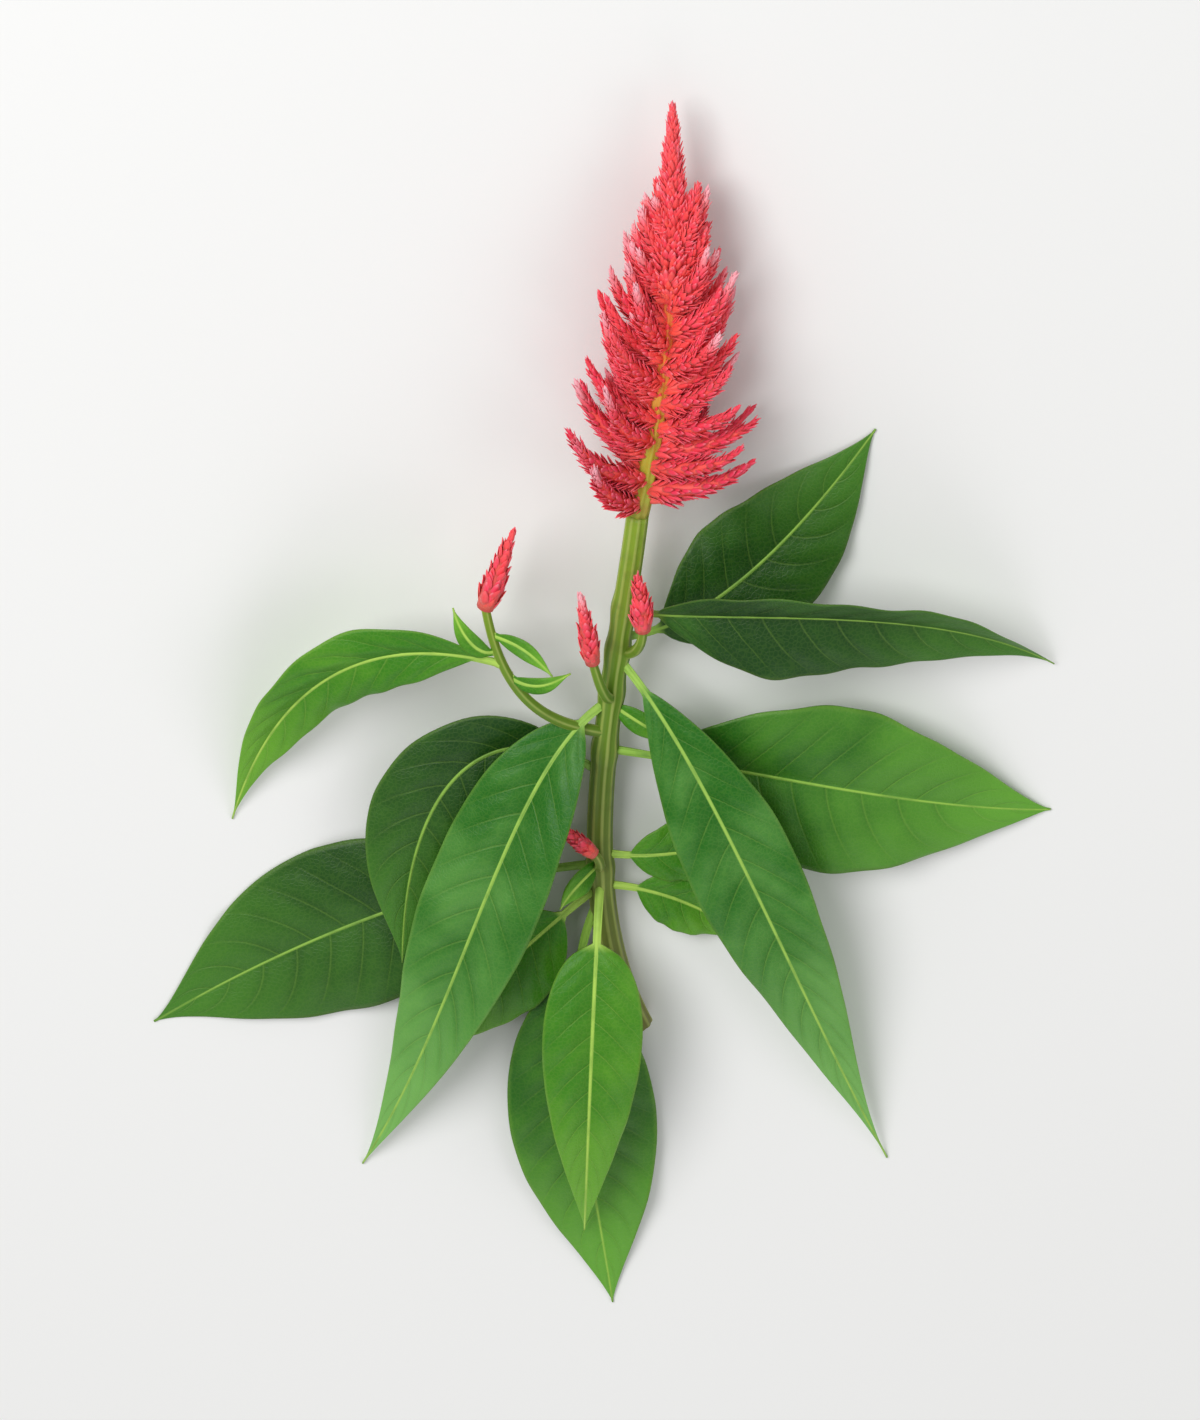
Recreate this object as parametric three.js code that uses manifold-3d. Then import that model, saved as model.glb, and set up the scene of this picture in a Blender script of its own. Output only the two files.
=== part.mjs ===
// A celosia flower as picked: a feathery plume on its leafy stem, lying on a table.
// Millimetres. +Z is up from the table, +Y runs along the stem to the plume's tip, +X is to the right.
// The origin is on the table, under the middle of the whole flower.
import * as THREE from "three";
import { mergeVertices } from "three/addons/utils/BufferGeometryUtils.js";
import Module from "manifold-3d";

const wasm = await Module();
wasm.setup();

// Driving dimensions.
const CUT_RADIUS = 3.9; // stem where it was cut
const NECK_RADIUS = 3.0; // stem just under the plume
const PLUME_RADIUS = 26; // reach of the longest side branches from the plume's axis
const PLUME_BRANCHES = 62;
const BLADE_EDGE = 0.7; // a leaf's thickness at its margin
const BLADE_RIB = 1.6; // and through its midrib
const PETIOLE_HALF = 1.3;
const TIP_HALF = 0.4;
const TIP_DRAW = 0.3; // how far a blade's tip is drawn out
const SEAT_GAP = 0.3; // between a piece and what it grows from
const MIDDLE = [-6, 46.6]; // middle of the flower in the layout, whose zero is beside the lower leaves

// Growth lines in the layout, from root to tip.
const line = (...points) =>
  new THREE.CubicBezierCurve3(...points.map((p) => (p.isVector3 ? p : new THREE.Vector3(...p))));
const STEM_LINE = line([5, -52, 3.9], [-16, -5, 7], [-2, 60, 13], [4.2, 119, 17.5]);
const PLUME_LINE = line([4.2, 119.4, 17.5], [13, 160, 21], [14.3, 203, 20], [13.3, 239.5, 12]);

// Colours of the living flower.
const LEAF_GREEN = new THREE.MeshStandardMaterial({ color: 0x3c7d22, roughness: 0.5 });
const STEM_GREEN = new THREE.MeshStandardMaterial({ color: 0x7c9a34, roughness: 0.55 });
const CORAL_PINK = new THREE.MeshStandardMaterial({ color: 0xe24a56, roughness: 0.7 });

const UP = new THREE.Vector3(0, 0, 1);
const GOLDEN_ANGLE = 2.39996;
const mix = (a, b, share) => a + (b - a) * share;
const clamp01 = (value) => Math.min(1, Math.max(0, value));
// A fixed scatter between -1 and 1 for the nth piece, the same on every run.
const scatter = (n, salt) => 2 * ((((Math.sin(n * 12.9898 + salt * 78.233) * 43758.5453) % 1) + 1) % 1) - 1;

function solidOf(geometry) {
  geometry.deleteAttribute("normal");
  geometry.deleteAttribute("uv");
  const merged = mergeVertices(geometry, 1e-4);
  return new wasm.Manifold(
    new wasm.Mesh({
      numProp: 3,
      vertProperties: merged.attributes.position.array,
      triVerts: new Uint32Array(merged.index.array),
    }),
  );
}

function joined(solids) {
  return solids.reduce((whole, piece) => whole.add(piece));
}

// The largest body of a solid, without scraps that a cut left behind.
function mainBody(solid) {
  return solid.decompose().reduce((a, b) => (b.volume() > a.volume() ? b : a));
}

function meshOf(name, solid, material) {
  const made = solid.getMesh();
  const geometry = new THREE.BufferGeometry();
  geometry.setAttribute("position", new THREE.BufferAttribute(made.vertProperties, 3));
  geometry.setIndex(new THREE.BufferAttribute(made.triVerts, 1));
  geometry.computeVertexNormals();
  const mesh = new THREE.Mesh(geometry, material);
  mesh.name = name;
  return mesh;
}

// A closed rod along a growth line. radiusAt gives its radius from share 0 at the root to 1 at the tip.
function rod(curve, radiusAt, sides, steps, ridge = 0) {
  const geometry = new THREE.CylinderGeometry(1, 1, 1, sides, steps);
  const frames = curve.computeFrenetFrames(steps, false);
  const at = geometry.attributes.position;
  for (let i = 0; i < at.count; i++) {
    const step = Math.round((0.5 + at.getY(i)) * steps);
    const share = step / steps;
    const corner = Math.round((Math.atan2(at.getX(i), at.getZ(i)) / (2 * Math.PI)) * sides);
    const reach = radiusAt(share) * (corner % 2 ? 1 + ridge : 1 - ridge);
    const point = curve
      .getPointAt(share)
      .addScaledVector(frames.normals[step], at.getX(i) * reach)
      .addScaledVector(frames.binormals[step], -at.getZ(i) * reach);
    at.setXYZ(i, point.x, point.y, Math.max(point.z, 0));
  }
  return solidOf(geometry);
}

// A thin closed blade. pointAt(across, along, side) gives its upper face (side 1) and lower face (side 0).
// Both faces are split into triangles alike.
function blade(columns, rows, pointAt) {
  const grid = new THREE.PlaneGeometry(2, 1, columns, rows);
  const count = grid.attributes.position.count;
  const places = new Float32Array(count * 6);
  for (let i = 0; i < count; i++) {
    const across = grid.attributes.position.getX(i);
    const along = 0.5 + grid.attributes.position.getY(i);
    pointAt(across, along, 1).toArray(places, i * 3);
    pointAt(across, along, 0).toArray(places, (count + i) * 3);
  }
  const faces = [];
  const upper = grid.index.array;
  for (let i = 0; i < upper.length; i += 3) {
    faces.push(upper[i], upper[i + 1], upper[i + 2]);
    faces.push(count + upper[i], count + upper[i + 2], count + upper[i + 1]);
  }
  const corner = (column, row) => column + (columns + 1) * row;
  const rim = [];
  for (let column = 0; column < columns; column++) rim.push(corner(column, rows));
  for (let row = rows; row > 0; row--) rim.push(corner(columns, row));
  for (let column = columns; column > 0; column--) rim.push(corner(column, 0));
  for (let row = 0; row < rows; row++) rim.push(corner(0, row));
  rim.forEach((a, n) => {
    const b = rim[(n + 1) % rim.length];
    faces.push(b, a, count + a, b, count + a, count + b);
  });
  const geometry = new THREE.BufferGeometry();
  geometry.setAttribute("position", new THREE.BufferAttribute(places, 3));
  geometry.setIndex(faces);
  return solidOf(geometry);
}

// Half a leaf's width at a share of its length: a narrow petiole, then a lance shape that starts as
// slender as its foot says and draws out to a long tip.
function halfWidth(leaf, along) {
  const u = clamp01((along - leaf.petiole) / (1 - leaf.petiole));
  const outline = Math.sin(Math.PI * u ** leaf.belly) ** (leaf.foot + TIP_DRAW * u * u);
  return Math.max(mix(PETIOLE_HALF, TIP_HALF, along), (leaf.width / 2) * outline);
}

// A leaf bends along its growth line, folds up a little from its midrib, bulges between rib and margin,
// and waves along its margin. Where it meets the table it lies flat on it.
function leafSolid(leaf) {
  const curve = line(leaf.root, leaf.rise, leaf.fall, leaf.tip);
  const columns = 4;
  const turn = THREE.MathUtils.degToRad(leaf.roll);
  const fold = THREE.MathUtils.degToRad(leaf.fold);
  return blade(columns, leaf.rows, (across, along, side) => {
    const ahead = curve.getTangentAt(along);
    const level = new THREE.Vector3().crossVectors(ahead, UP).normalize();
    const above = new THREE.Vector3().crossVectors(level, ahead);
    const right = level.clone().multiplyScalar(Math.cos(turn)).addScaledVector(above, Math.sin(turn));
    const normal = new THREE.Vector3().crossVectors(right, ahead);
    const half = halfWidth(leaf, along);
    const bladeShare = clamp01((half - PETIOLE_HALF) / (leaf.width / 2));
    const lift = half * Math.abs(across) * (Math.sin(fold) - 0.16 * Math.abs(across));
    const phase = 2 * Math.PI * leaf.waves * along + (across > 0 ? 1.7 : 0) + leaf.width;
    const wave = leaf.wave * bladeShare * across * across * Math.sin(phase);
    const point = curve
      .getPointAt(along)
      .addScaledVector(right, across * half * Math.cos(fold))
      .addScaledVector(normal, lift + wave);
    const rib = mix(BLADE_RIB, BLADE_EDGE, along);
    const thickness = mix(rib, BLADE_EDGE, Math.abs(across));
    const under = Math.max(point.z - normal.z * thickness, 0);
    if (side) point.z = Math.max(point.z, under + BLADE_EDGE);
    else point.addScaledVector(normal, -thickness).setZ(under);
    return point;
  });
}

// Stem: ribbed, a little swollen where leaves leave it, with its side shoot and the small spikes' stalks.
const SIDE_SHOOT = line([-3.2, 47, 11.5], [-16, 54, 20], [-32, 60, 25], [-37.2, 94.7, 26.2]);
const SPIKES = [
  { name: "spike_side_shoot", from: [-37.2, 95, 26.2], to: [-29.8, 118.8, 28.5], radius: 3.6 },
  { name: "spike_front_left", from: [-8, 76, 23.4], to: [-11.2, 97.8, 27], radius: 3.0 },
  { name: "spike_front_right", from: [5.7, 86.6, 23.8], to: [4.3, 105, 28], radius: 3.3 },
  { name: "spike_low", from: [-7.6, 11.5, 17.2], to: [-17.2, 21.5, 19.5], radius: 2.5 },
];
const STALKS = [
  line([-2.8, 60, 13], [-3.8, 60, 19], [-6, 67, 22.4], [-8, 76, 23.4]),
  line([0.6, 74, 14], [3.4, 75, 18], [5.6, 80, 22], [5.7, 86.6, 23.8]),
  line([-6.4, 4, 8.8], [-6.2, 4, 14], [-5.2, 8.6, 17], [-7.6, 11.5, 17.2]),
];
const NODE_SHARES = [0.32, 0.55, 0.66, 0.74, 0.82]; // where leaves leave the stem, as shares of its length
const stemRadius = (grow) => (share) => {
  const swelling = NODE_SHARES.reduce((most, at) => Math.max(most, 1 - Math.abs(share - at) / 0.035), 0);
  return mix(CUT_RADIUS, NECK_RADIUS, share) + 0.5 * swelling + grow;
};
const stalkRadius = (grow) => (share) => mix(1.7, 1.2, share) + grow;

function stemWith(grow) {
  const main = rod(STEM_LINE, stemRadius(grow), 12, 25, 0.035);
  const shoot = rod(SIDE_SHOOT, stalkRadius(grow), 6, 8);
  const stalks = STALKS.map((curve) => rod(curve, stalkRadius(grow), 6, 4));
  return joined([main, shoot, ...stalks]);
}

// Small leaves of the side shoot and of the axils grow fused to the stem.
const SMALL_LEAVES = [
  {
    root: SIDE_SHOOT.getPointAt(0.63),
    rise: [-23, 69, 29],
    fall: [-19, 74, 31],
    tip: [-14, 75, 28],
    width: 5.5,
  },
  {
    root: SIDE_SHOOT.getPointAt(0.78),
    rise: [-39, 80, 29],
    fall: [-44, 88, 30],
    tip: [-46, 95, 27],
    width: 6,
  },
  {
    root: SIDE_SHOOT.getPointAt(0.86),
    rise: [-29, 86, 30],
    fall: [-24, 84, 33],
    tip: [-19, 77, 33],
    width: 5.5,
  },
  {
    root: STEM_LINE.getPointAt(0.64),
    rise: [3, 54, 16.5],
    fall: [9, 50, 17],
    tip: [15, 46, 15],
    width: 7,
  },
  {
    root: STEM_LINE.getPointAt(0.33),
    rise: [-9, 4, 17],
    fall: [-14, 3, 22],
    tip: [-17, -5, 19.5],
    width: 7.5,
  },
].map((leaf) => ({
  ...leaf,
  petiole: 0.06, roll: 0, fold: 16, wave: 0.4, waves: 1.5, belly: 0.76, foot: 1, rows: 5,
}));

// The large leaves, each rooted on the middle line of the stem or of its side shoot.
const LEAVES = [
  {
    name: "leaf_right_long",
    root: STEM_LINE.getPointAt(0.73),
    rise: [23, 52, 34],
    fall: [46, -22, 27],
    tip: [75, -98, 0.5],
    width: 32, petiole: 0.06, roll: -5, fold: 15, wave: 1.4, waves: 2.2, belly: 0.66, foot: 1.3, rows: 13,
  },
  {
    name: "leaf_left_long",
    root: STEM_LINE.getPointAt(0.645),
    rise: [-31, 50, 31],
    fall: [-44, -34, 27],
    tip: [-73, -100, 0.5],
    width: 36, petiole: 0.06, roll: -24, fold: 20, wave: 1.8, waves: 2.4, belly: 0.6, foot: 1, rows: 13,
  },
  {
    name: "leaf_right_broad",
    root: STEM_LINE.getPointAt(0.55),
    rise: [30, 40, 17],
    fall: [78, 22, 12],
    tip: [119, 16, 0.5],
    width: 55, petiole: 0.12, roll: -4, fold: 12, wave: 1.7, waves: 2.1, belly: 0.82, foot: 0.9, rows: 12,
  },
  {
    name: "leaf_right_upper",
    root: STEM_LINE.getPointAt(0.815),
    rise: [34, 94, 34],
    fall: [88, 96, 26],
    tip: [119, 63, 1.4],
    width: 40, petiole: 0.08, roll: -24, fold: 30, wave: 1.5, waves: 2, belly: 0.62, foot: 1.1, rows: 13,
  },
  {
    name: "leaf_back_right",
    root: STEM_LINE.getPointAt(0.765),
    rise: [22, 78, 9],
    fall: [45, 100, 5],
    tip: [69, 136, 0.5],
    width: 38, petiole: 0.12, roll: 0, fold: 10, wave: 1.2, waves: 2, belly: 0.72, foot: 1, rows: 11,
  },
  {
    name: "leaf_left_under",
    root: STEM_LINE.getPointAt(0.5),
    rise: [-30, 56, 15],
    fall: [-60, 44, 17],
    tip: [-61, -27, 11.5],
    width: 34, petiole: 0.12, roll: 0, fold: 8, wave: 1.1, waves: 2, belly: 0.85, foot: 1, rows: 11,
  },
  {
    name: "leaf_side_shoot",
    root: SIDE_SHOOT.getPointAt(0.7),
    rise: [-56, 88, 32],
    fall: [-92, 84, 25],
    tip: [-108, 13, 0.5],
    width: 24, petiole: 0.07, roll: 12, fold: 14, wave: 1.5, waves: 2, belly: 0.66, foot: 1.1, rows: 13,
  },
  {
    name: "leaf_left_low",
    root: STEM_LINE.getPointAt(0.325),
    rise: [-42, 0, 7],
    fall: [-88, -24, 0.8],
    tip: [-131, -53, 0.2],
    width: 52, petiole: 0.13, roll: -5, fold: 10, wave: 1.6, waves: 2.2, belly: 0.95, foot: 1, rows: 12,
  },
  {
    name: "leaf_left_short",
    root: STEM_LINE.getPointAt(0.285),
    rise: [-20, -10, 18.5],
    fall: [-36, -30, 15],
    tip: [-57, -60, 3.6],
    width: 31, petiole: 0.18, roll: 0, fold: 12, wave: 0.9, waves: 1.6, belly: 0.72, foot: 0.9, rows: 9,
  },
  {
    name: "leaf_centre_front",
    root: STEM_LINE.getPointAt(0.302),
    rise: [-7.5, -16, 33],
    fall: [-9.5, -76, 32],
    tip: [-10.4, -118, 7],
    width: 28.5, petiole: 0.16, roll: 2, fold: 12, wave: 0.9, waves: 1.8, belly: 0.51, foot: 0.95, rows: 12,
  },
  {
    name: "leaf_centre_back",
    root: STEM_LINE.getPointAt(0.267),
    rise: [-21, -36, 13.5],
    fall: [-8, -98, 6],
    tip: [-2.4, -146.5, 0.5],
    width: 42, petiole: 0.14, roll: 0, fold: 9, wave: 1.3, waves: 2, belly: 0.84, foot: 0.9, rows: 12,
  },
  {
    name: "leaf_right_small",
    root: STEM_LINE.getPointAt(0.348),
    rise: [8, 6, 11.5],
    fall: [22, 8, 9.5],
    tip: [40, 8, 2.4],
    width: 19, petiole: 0.18, roll: 0, fold: 9, wave: 0.7, waves: 1.5, belly: 0.7, foot: 1, rows: 8,
  },
  {
    name: "leaf_right_lowest",
    root: STEM_LINE.getPointAt(0.285),
    rise: [7, -3, 10],
    fall: [19, -9, 7],
    tip: [37, -26, 1],
    width: 19, petiole: 0.2, roll: 0, fold: 10, wave: 0.7, waves: 1.5, belly: 0.7, foot: 1, rows: 8,
  },
];

// One floret: a narrow three-sided scale that leans out of its branch and points to the branch's tip.
function floret(root, direction, length, radius) {
  const geometry = new THREE.ConeGeometry(radius, length, 3, 1);
  geometry.translate(0, length / 2, 0);
  geometry.applyQuaternion(new THREE.Quaternion().setFromUnitVectors(new THREE.Vector3(0, 1, 0), direction));
  geometry.translate(root.x, root.y, root.z);
  return solidOf(geometry);
}

// Florets wound round a growth line in a golden spiral between two shares of its length.
function spiral(curve, radiusAt, { count, from, to, length, radius, lean, spin }) {
  const florets = [];
  for (let n = 0; n < count; n++) {
    const share = mix(from, to, n / Math.max(1, count - 1));
    const ahead = curve.getTangentAt(share);
    const aside = new THREE.Vector3().crossVectors(ahead, UP).normalize();
    const angle = spin + n * GOLDEN_ANGLE;
    const out = aside.applyAxisAngle(ahead, angle);
    const slope = THREE.MathUtils.degToRad(lean);
    const direction = ahead.clone().multiplyScalar(Math.cos(slope)).addScaledVector(out, Math.sin(slope));
    const size = mix(1, 0.7, share);
    const root = curve.getPointAt(share).addScaledVector(out, radiusAt(share) * 0.45);
    florets.push(floret(root, direction.normalize(), length * size, radius * size));
  }
  return florets;
}

// How far the side branches' tips stand from the plume's axis, where they end at a share of its length.
// The plume is round at its foot, widest a quarter of the way up, and tapers almost straight to its tip.
const WIDEST = 0.24;
const FOOT_REACH = 0.75; // reach at the foot, as a share of the plume's widest
const TAPER_POWER = 0.92; // 1 would be a straight cone above the widest part, less is rounder
const TIP_LEAD = 0.13; // share of the plume's length by which a branch's tip is ahead of its root
const UNEVEN_REACH = 0.13; // share by which branches are longer or shorter than their neighbours
const UNEVEN_SLOPE = 9; // degrees by which they spread more or less
function plumeReach(share) {
  if (share < WIDEST) return PLUME_RADIUS * mix(FOOT_REACH, 1, share / WIDEST);
  return PLUME_RADIUS * (1 - clamp01((share - WIDEST) / (1 - WIDEST))) ** TAPER_POWER;
}

// A side branch is a slim flame: thick near its root and drawn out to a point.
const branchRadius = (thickness) => (share) => thickness * Math.sin(Math.PI * mix(0.28, 0.97, share) ** 0.8);
const BRANCH_TOP = 0.74; // share of the plume's length above which florets sit on the axis itself
const PARTING = 0.7; // radians by which the branches part on the upper side, so that the axis shows

// The way round the axis at which the nth branch stands, as an angle from straight down the right side.
function branchTurn(n) {
  const fromTop = ((n * GOLDEN_ANGLE + 0.3 * scatter(n, 1) + Math.PI) % (2 * Math.PI)) - Math.PI;
  const quarter = Math.PI / 2;
  const away = Math.abs(fromTop);
  const parted = away < quarter ? mix(PARTING, quarter, away / quarter) : away;
  return Math.sign(fromTop) * parted - quarter;
}

// The branches wind up the axis. They spread wide at the foot, stand steeper towards the top, and turn up.
function branchLine(n) {
  const rank = (n + 0.5) / PLUME_BRANCHES;
  const share = mix(0.015, BRANCH_TOP, rank ** 0.92);
  const root = PLUME_LINE.getPointAt(share);
  const ahead = PLUME_LINE.getTangentAt(share);
  const aside = new THREE.Vector3().crossVectors(ahead, UP).normalize();
  const out = aside.applyAxisAngle(ahead, branchTurn(n));
  const slope = THREE.MathUtils.degToRad(mix(60, 27, rank ** 0.8) + UNEVEN_SLOPE * scatter(n, 2));
  const reach = plumeReach(share + TIP_LEAD) * (1 + UNEVEN_REACH * scatter(n, 3));
  const length = reach / Math.sin(slope);
  const tip = root
    .clone()
    .addScaledVector(out, length * Math.sin(slope))
    .addScaledVector(ahead, length * Math.cos(slope));
  const elbow = root
    .clone()
    .addScaledVector(out, length * 0.7 * Math.sin(slope))
    .addScaledVector(ahead, length * 0.3 * Math.cos(slope));
  elbow.z = Math.max(elbow.z, 1.8);
  tip.z = Math.max(tip.z, 0.4);
  return new THREE.QuadraticBezierCurve3(root, elbow, tip);
}

// The axis with the close mass of inner florets round it, and the crown that tops the plume.
const CORE_BULGE = 4;
const CROWN_FOOT = 0.55; // share of the plume's length where the crown starts
const CROWN_RADIUS = 8.4;
const coreRadius = (share) =>
  mix(NECK_RADIUS, 0.4, share ** 1.2) + CORE_BULGE * Math.sin(Math.PI * share ** 0.6);
const crownRadius = (share) => mix(CROWN_RADIUS, 0.5, share ** 0.8) * clamp01(0.4 + 4 * share);
const LOW_BRANCH = 3.6; // thickness of the side branches at the foot of the plume
const HIGH_BRANCH = 2.6; // and towards its tip

function plumeSolid() {
  const axis = rod(PLUME_LINE, coreRadius, 7, 9);
  const crown = new THREE.QuadraticBezierCurve3(
    PLUME_LINE.getPointAt(CROWN_FOOT),
    PLUME_LINE.getPointAt((CROWN_FOOT + 1) / 2),
    PLUME_LINE.getPointAt(1),
  );
  const pieces = [axis, rod(crown, crownRadius, 7, 6)];
  pieces.push(
    ...spiral(crown, crownRadius, {
      count: 36, from: 0.16, to: 0.9, length: 9, radius: 2.2, lean: 24, spin: 0,
    }),
  );
  for (let n = 0; n < PLUME_BRANCHES; n++) {
    const curve = branchLine(n);
    const radiusAt = branchRadius(mix(LOW_BRANCH, HIGH_BRANCH, n / PLUME_BRANCHES));
    pieces.push(rod(curve, radiusAt, 5, 3));
    pieces.push(
      ...spiral(curve, radiusAt, {
        count: 2, from: 0.35, to: 0.6, length: 6.4, radius: 1.7, lean: 20, spin: n,
      }),
    );
  }
  return wasm.Manifold.union(pieces);
}

// A small side spike: a slim spindle covered by the same scales.
function spikeSolid({ from, to, radius }) {
  const root = new THREE.Vector3(...from);
  const tip = new THREE.Vector3(...to);
  const stalkEnd = root.clone().lerp(tip, (2 * SEAT_GAP) / root.distanceTo(tip));
  const curve = new THREE.LineCurve3(stalkEnd, tip);
  const bulge = (share) => radius * 0.72 * Math.sin(Math.PI * mix(0.16, 0.97, share) ** 0.8);
  const scales = { count: 13, from: 0.12, to: 0.8, length: 5.2, radius: 1.35, lean: 20, spin: radius };
  return wasm.Manifold.union([rod(curve, bulge, 6, 4), ...spiral(curve, bulge, scales)]);
}

// The table's top, which flattens what is pressed against it.
const table = new THREE.BoxGeometry(600, 600, 20);
table.translate(0, 0, -10);
const tableSolid = solidOf(table);

const stem = mainBody(joined([stemWith(0), ...SMALL_LEAVES.map(leafSolid)]));
const stemRoom = stemWith(SEAT_GAP);
const neckEnd = STEM_LINE.getPointAt(1);
const neckAhead = STEM_LINE.getTangentAt(1).multiplyScalar(SEAT_GAP);
const neckLine = new THREE.LineCurve3(neckEnd.clone().sub(neckAhead), neckEnd.clone().add(neckAhead));
const neckRoom = joined([stem, stemRoom, rod(neckLine, () => NECK_RADIUS + 2 * SEAT_GAP, 12, 1)]);

const flower = new THREE.Group();
flower.position.set(-MIDDLE[0], -MIDDLE[1], 0);
flower.add(meshOf("stem", stem, STEM_GREEN));
flower.add(meshOf("plume", mainBody(plumeSolid().subtract(neckRoom).subtract(tableSolid)), CORAL_PINK));
for (const spike of SPIKES) {
  flower.add(meshOf(spike.name, mainBody(spikeSolid(spike).subtract(neckRoom)), CORAL_PINK));
}
for (const leaf of LEAVES) {
  flower.add(meshOf(leaf.name, mainBody(leafSolid(leaf).subtract(stemRoom)), LEAF_GREEN));
}

export default flower;
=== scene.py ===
from math import atan, cos, pi, radians, sin

import bmesh
import bpy
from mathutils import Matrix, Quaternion, Vector


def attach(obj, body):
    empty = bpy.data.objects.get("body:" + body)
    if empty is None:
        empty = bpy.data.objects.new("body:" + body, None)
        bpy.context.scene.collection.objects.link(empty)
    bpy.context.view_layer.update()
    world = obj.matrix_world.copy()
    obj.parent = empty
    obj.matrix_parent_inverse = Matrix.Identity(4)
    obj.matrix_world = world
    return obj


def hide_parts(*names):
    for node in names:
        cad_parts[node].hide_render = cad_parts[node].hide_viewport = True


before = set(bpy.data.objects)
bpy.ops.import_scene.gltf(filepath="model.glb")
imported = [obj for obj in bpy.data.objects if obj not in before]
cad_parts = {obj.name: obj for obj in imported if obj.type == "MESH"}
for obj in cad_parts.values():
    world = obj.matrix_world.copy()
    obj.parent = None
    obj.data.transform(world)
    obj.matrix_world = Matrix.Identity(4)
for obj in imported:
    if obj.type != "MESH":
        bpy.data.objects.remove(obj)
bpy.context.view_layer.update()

# Camera, floor and light.
# The flower lies on a pale table. The camera looks down on it, from the side
# of the plume's tip, as one looks down on the flower where it grows.
VIEW_TILT = radians(30)  # away from straight down
VIEW_DISTANCE = 3.2  # here all is in metres
VIEW_HEIGHT = 0.39  # what the frame takes in at that distance, from foot to head
VIEW_MIDDLE = Vector((0.0, 0.009, 0.014))
FLOOR_SIZE = 8.0
FLOOR_COLOUR = (0.86, 0.86, 0.85, 1.0)
ROOM_LIGHT = 0.44

toward_camera = Vector((0.0, sin(VIEW_TILT), cos(VIEW_TILT)))
camera = bpy.data.objects.new("camera", bpy.data.cameras.new("camera"))
camera.location = VIEW_MIDDLE + VIEW_DISTANCE * toward_camera
camera.rotation_euler = (-VIEW_TILT, 0.0, 0.0)
camera.data.sensor_fit = "VERTICAL"
camera.data.angle = 2 * atan(VIEW_HEIGHT / 2 / VIEW_DISTANCE)
bpy.context.collection.objects.link(camera)
scene = bpy.context.scene
scene.camera = camera
scene.view_settings.view_transform = "Standard"


def soft_light(name, place, size, power):
    """A round soft lamp that shines at the flower."""
    light = bpy.data.lights.new(name, "AREA")
    light.shape = "DISK"
    light.size = size
    light.energy = power
    lamp = bpy.data.objects.new(name, light)
    lamp.location = place
    lamp.rotation_euler = (-Vector(place)).to_track_quat("-Z", "Y").to_euler()
    bpy.context.collection.objects.link(lamp)


soft_light("key_light", place=(-0.75, 0.95, 1.35), size=1.0, power=21.0)
soft_light("fill_light", place=(1.1, 0.1, 1.1), size=1.0, power=3.0)
soft_light("foot_light", place=(0.1, -1.3, 0.9), size=0.9, power=2.6)

world = bpy.data.worlds.new("studio")
world.use_nodes = True
room = world.node_tree.nodes["Background"]
room.inputs["Color"].default_value = (1.0, 1.0, 1.0, 1.0)
room.inputs["Strength"].default_value = ROOM_LIGHT
scene.world = world


def principled(name, roughness=0.5, **constants):
    """A new material, with its tree and its Principled BSDF. A constant is named as its socket."""
    material = bpy.data.materials.new(name)
    material.use_nodes = True
    shader = material.node_tree.nodes["Principled BSDF"]
    shader.inputs["Roughness"].default_value = roughness
    for socket, value in constants.items():
        shader.inputs[socket.replace("_", " ")].default_value = value
    return material, material.node_tree, shader


def finished(name, bm, materials, slot=None, nodes=()):
    """Turns a bmesh into a smooth piece, and with a slot into one of the flower's."""
    mesh = bpy.data.meshes.new(name)
    bm.to_mesh(mesh)
    bm.free()
    mesh.shade_smooth()
    for material in materials:
        mesh.materials.append(material)
    piece = bpy.data.objects.new(name, mesh)
    bpy.context.collection.objects.link(piece)
    if slot:
        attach(piece, "root")
        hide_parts(*nodes)
    return piece


floor_paint, _, _ = principled("pale_table", 0.8, Base_Color=FLOOR_COLOUR)
bm = bmesh.new()
bmesh.ops.create_grid(bm, x_segments=1, y_segments=1, size=FLOOR_SIZE / 2)
floor = finished("floor", bm, [floor_paint])

# Stem.
# The flower's own stem, cut below the lowest leaves: juicy, ribbed, swollen
# where leaves leave it, with a thin side shoot and the small spikes' stalks.
MM = 0.001  # the flower's sizes and places are in mm, as it is laid out from above
MIDDLE = Vector((-6.0, 46.6, 0.0))  # the layout's point above the origin
UP = Vector((0.0, 0.0, 1.0))


def mix(a, b, share):
    return a + (b - a) * share


def clamp01(value):
    return min(1.0, max(0.0, value))


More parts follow.
